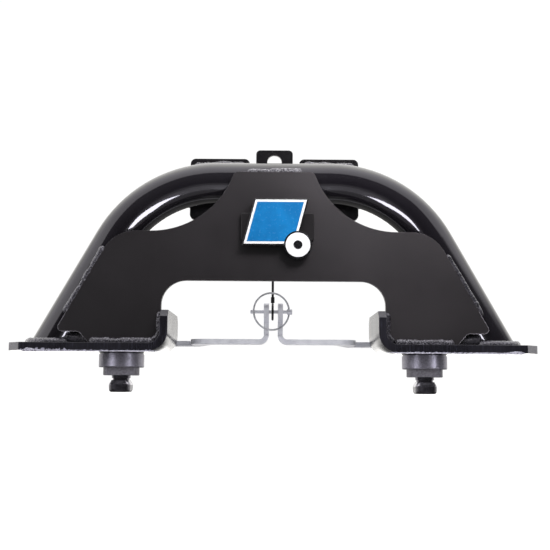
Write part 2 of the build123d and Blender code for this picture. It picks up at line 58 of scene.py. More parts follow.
# ------------------------------------------------------------------ node helpers
class Net:
    """Builds the node tree of a material or world. Values may be numbers or sockets."""

    def __init__(self, owner, coordinates=None):
        owner.use_nodes = True
        self.owner = owner
        self.tree = owner.node_tree
        self.tree.nodes.clear()
        if coordinates:
            self.place = self.node("TexCoord").outputs[coordinates]

    def put(self, socket, value):
        if isinstance(value, bpy.types.NodeSocket):
            self.tree.links.new(value, socket)
        elif socket.type == "RGBA":
            socket.default_value = (*value, 1.0)
        else:
            socket.default_value = value

    def node(self, kind, inputs=None, **properties):
        made = self.tree.nodes.new("ShaderNode" + kind)
        for key, value in properties.items():
            setattr(made, key, value)
        for key, value in (inputs or {}).items():
            self.put(made.inputs[key], value)
        return made

    def math(self, operation, first, second=None):
        inputs = {0: first} if second is None else {0: first, 1: second}
        return self.node("Math", inputs, operation=operation).outputs[0]

    def times(self, first, second):
        return self.math("MULTIPLY", first, second)

    def plus(self, first, second):
        return self.math("ADD", first, second)

    def size(self, value):
        return self.math("ABSOLUTE", value)

    def linear(self, value, to, over=(0.0, 1.0), kind="LINEAR"):
        """Maps the range `over` of value on to the range `to`, clamped."""
        inputs = {"Value": value, "From Min": over[0], "From Max": over[1],
                  "To Min": to[0], "To Max": to[1]}
        return self.node("MapRange", inputs, interpolation_type=kind).outputs["Result"]

    def smooth(self, value, over, to=(0.0, 1.0)):
        """As linear, with an S-shaped run. A falling `over` reverses it."""
        return self.linear(value, to, over, "SMOOTHSTEP")

    def mix(self, share, start, end):
        return self.node("Mix", {0: share, 6: start, 7: end}, data_type="RGBA").outputs[2]

    def tint(self, colour, mask, amount, tone):
        return self.mix(self.times(mask, amount), colour, tone)

    def noise(self, scale, detail=3.0, roughness=0.55, stretch=None, distortion=0.0):
        """Noise over the coordinates; a small factor in stretch draws it out on that axis."""
        place = self.place
        if stretch:
            place = self.node("Mapping", {"Vector": place, "Scale": stretch}).outputs["Vector"]
        inputs = {"Vector": place, "Scale": scale, "Detail": detail,
                  "Roughness": roughness, "Distortion": distortion}
        return self.node("TexNoise", inputs).outputs["Fac"]

    def cells(self, scale):
        return self.node("TexVoronoi", {"Vector": self.place, "Scale": scale}).outputs["Distance"]

    def bump(self, height, distance, strength, below=None):
        inputs = {"Height": height, "Distance": distance, "Strength": strength}
        if below is not None:
            inputs["Normal"] = below
        return self.node("Bump", inputs).outputs["Normal"]

    def axes(self):
        return self.node("SeparateXYZ", {0: self.place}).outputs

    def normal(self):
        geometry = self.node("NewGeometry")
        return self.node("SeparateXYZ", {0: geometry.outputs["Normal"]}).outputs

    def edge(self, radius):
        """1 on convex and concave edges of the geometry, 0 on flats."""
        rounded = self.node("Bevel", {"Radius": radius}, samples=4).outputs["Normal"]
        flat = self.node("NewGeometry").outputs["Normal"]
        dot = self.node("VectorMath", {0: rounded, 1: flat}, operation="DOT_PRODUCT")
        return self.smooth(dot.outputs["Value"], over=(0.995, 0.90))

    def wear(self, colour, tone, amount, radius, over, to=(0.0, 1.0), **grain):
        """Patches of another tone along the edges, where the noise passes `over`."""
        patches = self.smooth(self.noise(**grain), over, to)
        return self.tint(colour, self.times(self.edge(radius), patches), amount, tone)

    def drag_lines(self, lines, normal_z, distance, amount, below):
        """Drag lines of a plasma cut, only on faces that are not horizontal."""
        upright = self.smooth(self.size(normal_z), over=(0.35, 0.05))
        return self.bump(lines, distance, self.times(upright, amount), below)

    def surface(self, inputs):
        shader = self.node("BsdfPrincipled", inputs)
        self.node("OutputMaterial", {"Surface": shader.outputs["BSDF"]})
        return self.owner


def material(name):
    return Net(bpy.data.materials.new(name), "Object")


def srgb(*channels):
    """Linear colour from sRGB channels of 0 to 255."""
    def linear(value):
        return value / 12.92 if value <= 0.04045 else ((value + 0.055) / 1.055) ** 2.4
    return tuple(linear(channel / 255.0) for channel in channels)


# ------------------------------------------------------------------ materials
def gloss_paint():
    net = material("gloss_black_paint")
    mottling = net.noise(scale=9.0, detail=4.0)
    speck = net.noise(scale=900.0, detail=2.0)
    colour = net.mix(net.smooth(mottling, over=(0.35, 0.7)),
                     (0.0062, 0.0052, 0.0075), (0.0090, 0.0080, 0.0105))
    # dust settles on faces that look up
    dust = net.smooth(net.noise(scale=2600.0, detail=1.0), over=(0.70, 0.80))
    facing_up = net.smooth(net.normal()["Z"], over=(0.25, 0.95))
    colour = net.tint(colour, dust, net.times(facing_up, 0.35), (0.10, 0.10, 0.105))
    colour = net.wear(colour, (0.16, 0.155, 0.15), amount=0.55, radius=0.0012,
                      over=(0.52, 0.70), scale=160.0, detail=4.0)
    # orange peel, fine then broad
    peel = net.bump(net.noise(scale=300.0, detail=2.0, roughness=0.5),
                    distance=0.00008, strength=0.22)
    peel = net.bump(net.noise(scale=38.0, detail=2.0, roughness=0.5),
                    distance=0.0004, strength=0.10, below=peel)
    return net.surface({
        "Base Color": colour,
        "Roughness": net.plus(net.linear(mottling, to=(0.13, 0.20), over=(0.3, 0.7)),
                              net.times(speck, 0.03)),
        "IOR": 1.52,
        "Specular IOR Level": 0.06,
        "Coat Weight": 1.0,
        "Coat Roughness": net.linear(net.noise(scale=60.0), to=(0.02, 0.06)),
        "Normal": peel,
        "Coat Normal": peel})


def powder_coat(name, base, roughness, cut_edges=False, painted_rim_highlight=False):
    net = material(name)
    broad = net.noise(scale=5.5, detail=4.0, roughness=0.6)
    grain = net.noise(scale=1500.0, detail=2.0, roughness=0.6)
    colour = net.mix(net.smooth(broad, over=(0.32, 0.70)),
                     tuple(x * 0.86 for x in base), tuple(x * 1.16 for x in base))
    fleck = net.smooth(net.noise(scale=3100.0, detail=1.0), over=(0.68, 0.78))
    colour = net.tint(colour, fleck, 0.14, (0.11, 0.10, 0.11))
    # edge wear in patches, on top of a faint pale line along every edge that is painted highlight
    colour = net.wear(colour, (0.20, 0.195, 0.20), amount=0.50, radius=0.0011,
                      over=(0.45, 0.66), to=(0.22, 1.0), scale=120.0, detail=4.0, roughness=0.65)
    if painted_rim_highlight:
        # painted highlight: a pale line where the front face turns into the rim
        facing = net.size(net.normal()["Y"])
        rim_line_highlight = net.times(net.smooth(facing, over=(0.985, 0.93)),
                         net.smooth(facing, over=(0.12, 0.40)))
        breaks = net.noise(scale=55.0, roughness=0.6)
        rim_line_highlight = net.times(rim_line_highlight, net.smooth(breaks, over=(0.30, 0.62), to=(0.25, 1.0)))
        colour = net.tint(colour, rim_line_highlight, 0.75, (0.20, 0.198, 0.215))
        # painted highlight on the edges of the low outer toes
        x, _, z = net.axes()
        toe = net.times(net.smooth(net.size(x), over=(0.325, 0.335)),
                        net.smooth(z, over=(0.085, 0.060)))
        toe = net.times(toe, net.edge(0.0017))
        colour = net.tint(colour, toe, 0.85, (0.42, 0.41, 0.45))
    normal = net.bump(grain, distance=0.00010, strength=0.5)
    normal = net.bump(net.noise(scale=420.0, detail=2.0, roughness=0.5),
                      distance=0.00012, strength=0.35, below=normal)
    # faint long waves of hot-rolled plate under the paint
    waves = net.noise(scale=26.0, detail=2.0, roughness=0.5, stretch=(1.0, 1.0, 0.35))
    normal = net.bump(waves, distance=0.0012, strength=0.05, below=normal)
    if cut_edges:
        lines = net.noise(scale=520.0, detail=2.0, roughness=0.5, stretch=(1.0, 1.0, 0.06))
        normal = net.drag_lines(lines, net.normal()["Z"], distance=0.0005, amount=0.55,
                                below=normal)
    around = (roughness - 0.05, roughness + 0.05)
    return net.surface({
        "Base Color": colour,
        "Roughness": net.plus(net.linear(broad, to=around, over=(0.3, 0.7)),
                              net.times(grain, 0.06)),
        "IOR": 1.5,
        "Normal": normal})


def foot_plate():
    """Thick plasma-cut plate: painted highlight along the ragged lower edge, ground facets,
    painted reflections on the front face and on the flange's top chamfer, smooth underside.
    """
    net = material("black_foot_plate")
    x, _, z = net.axes()
    normal_x, normal_y, normal_z = net.normal()
    broad = net.noise(scale=7.0, detail=4.0, roughness=0.6)
    grain = net.noise(scale=1300.0, detail=2.0, roughness=0.6)
    lines = net.noise(scale=560.0, detail=2.0, roughness=0.5, stretch=(1.0, 1.0, 0.05))
    brush = net.noise(scale=700.0, roughness=0.6, stretch=(0.25, 0.25, 2.6))
    under = net.smooth(normal_z, over=(-0.55, -0.9))
    front = net.smooth(normal_y, over=(-0.55, -0.85))
    facet = net.smooth(net.size(net.times(normal_x, normal_y)), over=(0.40, 0.47))
    # painted grey reflection on the flange's sloping top chamfer, joined below with the bare
    # ground metal of the end facets
    flange_top_sheen = net.times(
        net.smooth(net.size(net.times(normal_z, normal_y)), over=(0.38, 0.46)),
        net.smooth(z, over=(0.055, 0.060)))
    ground_and_sheen = net.math("MAXIMUM", facet, net.times(flange_top_sheen, 0.22))
    colour = net.mix(net.smooth(broad, over=(0.32, 0.7)),
                     (0.0070, 0.0066, 0.0095), (0.0125, 0.0118, 0.0165))
    # painted bluish reflection along the drag lines, on the front faces only
    colour = net.tint(colour, front, net.smooth(lines, over=(0.52, 0.72), to=(0.0, 0.35)),
                      (0.055, 0.055, 0.080))
    bare = net.mix(net.smooth(brush, over=(0.35, 0.68)),
                   (0.17, 0.167, 0.178), (0.27, 0.265, 0.283))
    colour = net.tint(colour, ground_and_sheen, 0.9, bare)
    # painted highlight along the torn lower edge of the cut, taller towards the outer end of the
    # left foot
    reach = net.plus(0.0008, net.smooth(x, over=(-0.29, -0.40), to=(0.0, 0.0013)))
    reach = net.times(reach, net.smooth(net.size(x), over=(0.452, 0.436)))
    teeth = net.noise(scale=210.0, detail=2.0, roughness=0.6, stretch=(1.0, 0.02, 0.10))
    torn = net.times(reach, net.linear(teeth, to=(0.0, 2.3), over=(0.38, 0.66)))
    lip = net.times(net.math("LESS_THAN", z, torn), net.smooth(normal_y, over=(-0.25, -0.5)))
    lip = net.times(lip, net.math("SUBTRACT", 1.0, facet))
    colour = net.tint(colour, lip, 0.80, (0.50, 0.49, 0.60))
    colour = net.wear(colour, (0.22, 0.215, 0.225), amount=0.45, radius=0.0010,
                      over=(0.42, 0.66), scale=140.0, detail=4.0, roughness=0.65)
    roughness = net.plus(net.linear(broad, to=(0.20, 0.30), over=(0.3, 0.7)),
                         net.times(grain, 0.05))
    normal = net.bump(grain, distance=0.00008, strength=0.35)
    return net.surface({
        "Base Color": colour,
        "Roughness": net.times(roughness, net.linear(under, to=(1.0, 0.45))),
        "IOR": 1.5,
        "Normal": net.drag_lines(lines, normal_z, distance=0.0006, amount=0.5, below=normal)})


def painted_weld(name, light, threshold):
    """Dark painted bead with light strokes that are painted glints; a higher threshold leaves
    fewer of them.
    """
    net = material(name)
    broad = net.noise(scale=70.0, detail=4.0)
    colour = net.mix(net.smooth(broad, over=(0.35, 0.65)),
                     (0.014, 0.013, 0.017), (0.040, 0.038, 0.047))
    glint_strokes = net.noise(scale=330.0, roughness=0.6, stretch=(1.0, 1.0, 1.6))
    glint_strokes = net.smooth(glint_strokes, over=(threshold, threshold + 0.10))
    colour = net.tint(colour, glint_strokes, 0.75, light)
    spatter = net.smooth(net.cells(scale=420.0), over=(0.25, 0.05))
    colour = net.tint(colour, spatter, 0.35, (0.16, 0.155, 0.165))
    lumps = net.noise(scale=260.0, detail=4.0, roughness=0.6, distortion=0.6)
    normal = net.bump(lumps, distance=0.0010, strength=0.8)
    return net.surface({
        "Base Color": colour,
        "Roughness": net.linear(broad, to=(0.16, 0.38), over=(0.3, 0.7)),
        "Coat Weight": 0.5,
        "Coat Roughness": 0.14,
        "Normal": net.bump(spatter, distance=0.0006, strength=0.5, below=normal)})


def lip_highlight_material():
    # the pale lavender bits are painted highlight along the torn edge, over the lip's darker own
    # tone
    net = material("torn_cut_lip_painted_highlight")
    bits = net.noise(scale=420.0, detail=4.0, roughness=0.65)
    return net.surface({
        "Base Color": net.mix(net.smooth(bits, over=(0.34, 0.60)),
                              (0.16, 0.155, 0.19), (0.74, 0.73, 0.84)),
        "Roughness": net.linear(bits, to=(0.22, 0.45)),
        "Coat Weight": 0.6,
        "Coat Roughness": 0.12,
        "Normal": net.bump(net.noise(scale=900.0), distance=0.0004, strength=0.5)})


def gunmetal():
    """Turned shoulder above z = -27.4 mm, as-cast key boss below it."""
    net = material("gunmetal_collar")
    z = net.axes()["Z"]
    boss = net.smooth(z, over=(-0.0270, -0.0278))
    pits = net.noise(scale=620.0, roughness=0.6)
    lathe = net.noise(scale=2600.0, detail=2.0, roughness=0.6, stretch=(0.02, 0.02, 1.0))
    turned = net.mix(net.smooth(pits, over=(0.35, 0.65)),
                     (0.150, 0.145, 0.172), (0.262, 0.255, 0.292))
    cast = net.mix(net.smooth(net.noise(scale=380.0, detail=4.0), over=(0.3, 0.7)),
                   (0.120, 0.115, 0.130), (0.215, 0.208, 0.228))
    colour = net.mix(boss, turned, cast)
    # painted shade: a dark band right under the foot
    groove_shade = net.smooth(z, over=(-0.0024, -0.0016))
    colour = net.tint(colour, groove_shade, 0.92, (0.006, 0.006, 0.007))
    colour = net.wear(colour, (0.36, 0.36, 0.38), amount=0.6, radius=0.0009,
                      over=(0.42, 0.62), scale=240.0)
    normal = net.bump(lathe, distance=0.00008, strength=0.25)
    normal = net.bump(pits, distance=0.00010, strength=0.35, below=normal)
    return net.surface({
        "Base Color": colour,
        "Metallic": net.linear(boss, to=(0.66, 0.30)),
        "Roughness": net.plus(net.linear(boss, to=(0.36, 0.55)), net.times(pits, 0.14)),
        "Normal": net.bump(net.noise(scale=1500.0, detail=2.0),
                           distance=0.0001, strength=0.3, below=normal)})


def black_oxide():
    net = material("black_oxide_anchor")
    pits = net.noise(scale=500.0, roughness=0.6)
    lathe = net.noise(scale=2200.0, detail=2.0, roughness=0.6, stretch=(0.03, 0.03, 1.0))
    colour = net.mix(net.smooth(pits, over=(0.35, 0.68)),
                     (0.060, 0.057, 0.068), (0.125, 0.120, 0.142))
    colour = net.wear(colour, (0.30, 0.30, 0.32), amount=0.7, radius=0.0013,
                      over=(0.40, 0.62), scale=200.0)
    # painted highlight band from about z = -58 to -52 mm, painted shade on the metal below it
    band_highlight = net.times(net.smooth(net.axes()["Z"], over=(-0.0592, -0.0574)),
                     net.smooth(net.axes()["Z"], over=(-0.0508, -0.0526)))
    patches = net.noise(scale=160.0, roughness=0.6)
    band_highlight = net.times(band_highlight, net.smooth(patches, over=(0.30, 0.55), to=(0.45, 1.0)))
    colour = net.tint(colour, band_highlight, 0.95, (0.44, 0.43, 0.48))
    # painted shade on the lower head; the same mask also makes it rougher
    low = net.smooth(net.axes()["Z"], over=(-0.0582, -0.0600))
    colour = net.tint(colour, low, 0.6, (0.060, 0.058, 0.066))
    normal = net.bump(lathe, distance=0.00004, strength=0.2)
    return net.surface({
        "Base Color": colour,
        "Metallic": 0.75,
        "Roughness": net.plus(net.linear(pits, to=(0.13, 0.24), over=(0.3, 0.7)),
                              net.times(low, 0.20)),
        "Normal": net.bump(pits, distance=0.00006, strength=0.2, below=normal)})


def zinc_plate(name, lathe=None):
    """Zinc plating; lathe is the stretch of the turning marks, if the piece is turned."""
    net = material(name)
    spangle = net.cells(scale=230.0)
    broad = net.noise(scale=42.0, detail=4.0, roughness=0.6)
    pale = (0.76, 0.77, 0.82)
    colour = net.mix(net.smooth(broad, over=(0.3, 0.7)), (0.61, 0.62, 0.68), pale)
    colour = net.tint(colour, net.smooth(spangle, over=(0.1, 0.6)), 0.22, pale)
    colour = net.wear(colour, (0.26, 0.27, 0.30), amount=0.45, radius=0.0014,
                      over=(0.45, 0.65), scale=180.0)
    scratches = net.noise(scale=1900.0, detail=2.0, roughness=0.6, stretch=(0.05, 1.0, 1.0))
    marks = scratches
    if lathe:
        marks = net.noise(scale=2400.0, detail=2.0, roughness=0.6, stretch=lathe)
    normal = net.bump(marks, distance=0.00016, strength=0.35)
    return net.surface({
        "Base Color": colour,
        "Metallic": 0.28,
        "Roughness": net.plus(net.linear(broad, to=(0.28, 0.42), over=(0.3, 0.7)),
                              net.times(scratches, 0.06)),
        "Normal": net.bump(net.noise(scale=700.0), distance=0.00018, strength=0.4,
                           below=normal)})


def spring_wire():
    net = material("plated_spring_wire")
    drawn = net.noise(scale=1300.0, detail=2.0, roughness=0.6, stretch=(1.0, 0.2, 1.0))
    return net.surface({
        "Base Color": net.mix(net.smooth(net.noise(scale=110.0), over=(0.3, 0.7)),
                              (0.46, 0.47, 0.50), (0.66, 0.67, 0.70)),
        "Metallic": 0.42,
        "Roughness": net.linear(drawn, to=(0.22, 0.40)),
        "Normal": net.bump(drawn, distance=0.0001, strength=0.4)})


def sintered_bronze():
    net = material("sintered_bronze")
    broad = net.noise(scale=80.0)
    return net.surface({
        "Base Color": net.mix(net.smooth(broad, over=(0.3, 0.7)),
                              (0.34, 0.20, 0.09), (0.50, 0.32, 0.14)),
        "Metallic": 0.95,
        "Roughness": net.linear(broad, to=(0.34, 0.50), over=(0.3, 0.7)),
        "Normal": net.bump(net.cells(scale=1500.0), distance=0.0002, strength=0.4)})


def cable_jacket():
    net = material("cable_jacket")
    x, _, z = net.axes()
    # strands under the jacket wind round the cable as it runs down
    strands = net.math("SINE", net.plus(net.times(z, 1500.0), net.times(x, 1700.0)))
    strands = net.linear(strands, to=(0.0, 1.0), over=(-1.0, 1.0))
    speck = net.noise(scale=1400.0, detail=2.0)
    normal = net.bump(strands, distance=0.0004, strength=0.6)
    return net.surface({
        "Base Color": net.mix(net.smooth(speck, over=(0.4, 0.7)),
                              (0.006, 0.006, 0.007), (0.016, 0.016, 0.018)),
        "Roughness": net.linear(speck, to=(0.36, 0.52)),
        "Normal": net.bump(speck, distance=0.0001, strength=0.3, below=normal)})


def emblem_plastic(name, dark, light, roughness, rubbed=0.35):
    net = material(name)
    colour = net.mix(net.smooth(net.noise(scale=30.0), over=(0.3, 0.7)), dark, light)
    if rubbed:
        colour = net.tint(colour, net.edge(0.0002), rubbed,
                          tuple(min(1.0, x * 1.25 + 0.02) for x in light))
    return net.surface({
        "Base Color": colour,
        "Roughness": net.linear(net.noise(scale=220.0), to=(roughness - 0.04, roughness + 0.08)),
        "IOR": 1.49,
        "Coat Weight": 0.35,
        "Coat Roughness": 0.10,
        "Normal": net.bump(net.noise(scale=300.0, detail=2.0), distance=0.00002, strength=0.02)})


GLOSS = gloss_paint()
POWDER = powder_coat("black_powder", base=(0.0112, 0.0098, 0.0106), roughness=0.46)
WEB = powder_coat("black_powder_web", base=(0.0085, 0.0073, 0.0081), roughness=0.42,
                  painted_rim_highlight=True)
POWDER_CUT = powder_coat("black_powder_cut_plate", base=(0.0075, 0.0068, 0.0080),
                         roughness=0.27, cut_edges=True)
FOOT = foot_plate()
WELD = painted_weld("painted_weld", light=(0.25, 0.243, 0.275), threshold=0.50)
WELD_DIM_GLINTS = painted_weld("painted_weld_dim_glints", light=(0.11, 0.106, 0.122), threshold=0.54)
WELD_BRIGHT_GLINTS = painted_weld("painted_weld_bright_glints", light=(0.36, 0.352, 0.375), threshold=0.47)
LIP_HIGHLIGHT = lip_highlight_material()
GUNMETAL = gunmetal()
ANCHOR = black_oxide()
ZINC = zinc_plate("zinc_plate")
ZINC_PIN = zinc_plate("zinc_turned_pin", lathe=(1.0, 0.02, 0.02))
ZINC_TURNED = zinc_plate("zinc_turned_washer", lathe=(0.02, 0.02, 1.0))
WIRE = spring_wire()
BRONZE = sintered_bronze()
CABLE = cable_jacket()
EMBLEM_BLACK = emblem_plastic("emblem_black_plastic", dark=(0.004, 0.004, 0.005),
                              light=(0.009, 0.009, 0.010), roughness=0.25)
EMBLEM_WHITE = emblem_plastic("emblem_white_enamel", dark=(0.86, 0.86, 0.87),
                              light=(0.93, 0.93, 0.94), roughness=0.26)
EMBLEM_BLUE = emblem_plastic("emblem_blue_enamel", dark=srgb(9, 106, 168),
                             light=srgb(14, 122, 188), roughness=0.24, rubbed=0.0)

# piece: (material, bevel width in metres, 0 for none)
PAIRED_FINISHES = {
    "foot_plate": (FOOT, 0.0009),
    "head_bracket": (POWDER_CUT, 0.0005),
    "puck_collar": (GUNMETAL, 0.0),
    "anchor": (ANCHOR, 0.0),
    "anchor_bushing": (BRONZE, 0.0),
    "thrust_washer": (ZINC_TURNED, 0.0002),
    "top_washer": (ZINC_TURNED, 0.0002),
    "anchor_nut": (ZINC_TURNED, 0.0),
    "lock_handle": (ZINC, 0.0011),
}
FINISHES = {
    "arch_tube": (GLOSS, 0.0),
    "web_plate": (WEB, 0.0010),
    "lift_tab": (POWDER_CUT, 0.0009),
    "lock_pin": (ZINC_PIN, 0.0002),
    "pin_ring": (WIRE, 0.0),
    "lanyard_cable": (CABLE, 0.0),
    "lanyard_ferrule": (CABLE, 0.0004),
    "lanyard_upper_clip": (ZINC, 0.0003),
    "emblem_body": (EMBLEM_BLACK, 0.0003),
    "emblem_border": (EMBLEM_WHITE, 0.0001),
    "emblem_face": (EMBLEM_BLUE, 0.0001),
    "emblem_disc": (EMBLEM_WHITE, 0.0001),
}
for _, tag in SIDES:
    for piece, finish in PAIRED_FINISHES.items():
        FINISHES[f"{tag}_{piece}"] = finish
OTHER_FINISH = (POWDER, 0.0)
WIDE_BEVEL = 0.0007       # from this width on a bevel gets a third segment


def break_edges(piece, width):
    seams = piece.modifiers.new("join_seams", "WELD")
    seams.merge_threshold = 1e-6
    bevel = piece.modifiers.new("broken_edges", "BEVEL")
    bevel.width = width
    bevel.segments = 3 if width >= WIDE_BEVEL else 2
    bevel.limit_method = "ANGLE"
    bevel.angle_limit = math.radians(32)
    bevel.harden_normals = True
    bevel.use_clamp_overlap = True


for name, piece in NODES.items():
    paint, bevel_width = FINISHES.get(name, OTHER_FINISH)
    piece.data.materials.clear()
    piece.data.materials.append(paint)
    for polygon in piece.data.polygons:
        polygon.material_index = 0
    if bevel_width:
        break_edges(piece, bevel_width)


# ------------------------------------------------------------------ added meshes, in mm
def add_mesh(name, verts, faces, paint, smooth):
    mesh = bpy.data.meshes.new(name)
    mesh.from_pydata([tuple(vert) for vert in verts], [], faces)
    mesh.validate()
    work = bmesh.new()
    work.from_mesh(mesh)
    bmesh.ops.recalc_face_normals(work, faces=work.faces)
    work.to_mesh(mesh)
    work.free()
    if smooth:
        for polygon in mesh.polygons:
            polygon.use_smooth = True
    made = bpy.data.objects.new(name, mesh)
    SCENE.collection.objects.link(made)
    mesh.materials.append(paint)
    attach(made, "root")


def wall_faces(rows, ring, closed=False):
    """Quads between successive rows of `ring` points each."""
    faces = []
    for i in range(rows if closed else rows - 1):
        j = (i + 1) % rows
        for k in range(ring):
            k_next = (k + 1) % ring
            faces.append((i * ring + k, i * ring + k_next, j * ring + k_next, j * ring + k))
    return faces


# torn lip: x range by side, and the outer stretch where it grows
LIP_START = {-1: 196.0, 1: 199.0}
LIP_END = 444.0
LIP_PEAK = 428.0
LIP_FACE_Y = -87.35


def cut_lip(name, sign, seed):
    """Torn, hanging lip that the plasma cut left along a foot's lower front edge."""
    draws = random.Random(seed)
    stations = []
    x = LIP_START[sign]
    while x < LIP_END:
        stations.append(x)
        x += draws.uniform(0.9, 2.1)
    verts = []
    rise = drop = 0.6
    for x in stations:
        outer = max(0.0, min(1.0, (x - 330.0) / 90.0))
        peak = math.exp(-((x - LIP_PEAK) / 9.0) ** 2)
        # each height leans on the one before, so the lip has no lone spikes
        rise = 0.45 * rise + 0.55 * ((0.5 + 2.2 * outer) * draws.random() ** 1.4
                                     + 3.6 * peak * (0.6 + 0.4 * draws.random()))
        drop = 0.6 * drop + 0.4 * (1.1 + 1.2 * draws.random() + 0.4 * outer)
        fade = min(1.0, (x - stations[0]) / 14.0, (stations[-1] - x) / 6.0 + 0.15)
        up, down = max(0.25, rise * fade), max(0.35, drop * fade)
        face_y = LIP_FACE_Y - 0.25 * draws.random()
        # y, z round the lip's section
        section = ((face_y + 0.15, up), (face_y, up * 0.45), (face_y + 0.05, -down * 0.55),
                   (face_y + 0.9, -down), (face_y + 2.6, -down * 0.6), (face_y + 4.0, 0.4),
                   (face_y + 1.2, up * 0.6))
        verts += [(sign * x * MM, y * MM, z * MM) for y, z in section]
    ring, rows = len(section), len(stations)
    faces = wall_faces(rows, ring)
    faces.append(tuple(range(ring)))
    faces.append(tuple(reversed(range((rows - 1) * ring, rows * ring))))
    add_mesh(name, verts, faces, LIP_HIGHLIGHT, smooth=False)


BEAD_RING = 16        # points round a bead
BEAD_STEP = 1.1       # spacing of its rings


def point_along(spans, along):
    for span_start, start, end in reversed(spans):
        if along >= span_start - 1e-9:
            share = (along - span_start) / max(1e-9, (end - start).length)
            return start + (end - start) * min(1.0, share)


def bead(name, path, across, outwards, width, height, seed, pitch, paint=WELD,
         closed=False, wobble=0.18, taper=5.0):
    """A weld bead along path: an oval rope with crescent ripples.

    width and height are half-sizes along the unit directions across and outwards; across
    may be a function of the share of the length. pitch is the ripple spacing, and taper
    the length over which an open end thins out.
    """
    draws = random.Random(seed)
    offset = Vector((draws.random() * 50, draws.random() * 50, draws.random() * 50))
    points = [Vector(point) for point in path]
    if closed:
        points.append(points[0].copy())
    spans, length = [], 0.0
    for start, end in zip(points, points[1:]):
        spans.append((length, start, end))
        length += (end - start).length
    steps = max(6, int(length / BEAD_STEP))
    rows = steps if closed else steps + 1
    verts = []
    for i in range(rows):
        along = length * i / steps
        centre = point_along(spans, along)
        sideways = across(along / length) if callable(across) else across
        to_end = min(along, length - along)
        thin = 1.0
        if not closed and to_end < taper:
            thin = 0.30 + 0.70 * math.sqrt(to_end / taper)
        slow = noise.noise(offset + Vector((along * 0.055, 0, 0)))
        medium = noise.noise(offset + Vector((0, along * 0.21, 3.3)))
        for k in range(BEAD_RING):
            angle = 2 * math.pi * k / BEAD_RING
            cosine, sine = math.cos(angle), math.sin(angle)
            # the ripples lag towards the middle of the bead, as a cooled pool does
            lag = 1.1 * (1 - abs(cosine))
            phase = ((along + lag * pitch * 0.45 + medium * 0.8) / pitch) % 1.0
            ripple = 1.0 + 0.055 * (phase - 0.5)
            fine = noise.noise(offset + Vector((along * 0.6, cosine * 2.2, sine * 2.2)))
            wide = width * thin * (1 + wobble * slow + 0.10 * fine) * ripple
            tall = height * thin * (1 + wobble * 0.7 * medium + 0.10 * fine) * ripple
            verts.append((centre + sideways * (cosine * wide + wobble * width * 0.35 * medium)
                          + outwards * (sine * tall)) * MM)
    faces = wall_faces(rows, BEAD_RING, closed)
    if not closed:
        faces.append(tuple(reversed(range(BEAD_RING))))
        faces.append(tuple(range((rows - 1) * BEAD_RING, rows * BEAD_RING)))
    add_mesh(name, verts, faces, paint, smooth=True)


FRONT, UP = Vector((0, -1, 0)), Vector((0, 0, 1))
# the welds on top of the arch lie on its sloping front shoulder
SHOULDER_UP, SHOULDER_OUT = Vector((0, -0.55, 0.83)), Vector((0, -0.83, -0.55))

LEG_SLOPE = math.radians(60.8)
LEG_FOOT_X, LEG_FOOT_Z = 372.5, 64.6      # a point on the web's sloping side
LEG_WELD_OUT = 2.3                        # weld centre beyond that side
LEG_WELD_Y = -64.6
LEG_WELD_LOW = 66
LEG_WELD_POINTS = 30
FOOT_WELD_Y, FOOT_WELD_Z = -69.6, 16.2
FLANGE_X, FLANGE_Y = 203.0, -69.8
FLANGE_TOP, FLANGE_BEND = 70.5, 38        # z of the weld's top and of the bend's start
TUBE_X, TUBE_Y = 399.0, -21.4             # centre of the tube's base


def leg_weld_path(top):
    sine, cosine = math.sin(LEG_SLOPE), math.cos(LEG_SLOPE)
    path = []
    for i in range(LEG_WELD_POINTS):
        z = top + (LEG_WELD_LOW - top) * i / (LEG_WELD_POINTS - 1)
        x = LEG_FOOT_X - (z - LEG_FOOT_Z) / math.tan(LEG_SLOPE)
        path.append((x + LEG_WELD_OUT * sine, LEG_WELD_Y, z + LEG_WELD_OUT * cosine))
    return path


def flange_weld_path():
    path = [(FLANGE_X, FLANGE_Y, FLANGE_TOP), (FLANGE_X, FLANGE_Y, FLANGE_BEND)]
    for i in range(1, 7):
        angle = math.radians(90 * i / 7)
        path.append((FLANGE_X + 17 * (1 - math.cos(angle)), FLANGE_Y,
                     FLANGE_BEND - 19 * math.sin(angle)))
    return path


def tube_weld_path(sign):
    path = []
    for i in range(72):
        angle = 2 * math.pi * i / 72
        # drawn in at the back, where the handle sweeps past
        tuck = 3.0 * max(0.0, math.sin(angle))
        path.append((sign * TUBE_X + (46.0 - tuck) * math.cos(angle),
                     TUBE_Y + (42.5 - tuck) * math.sin(angle), 15.4))
    return path


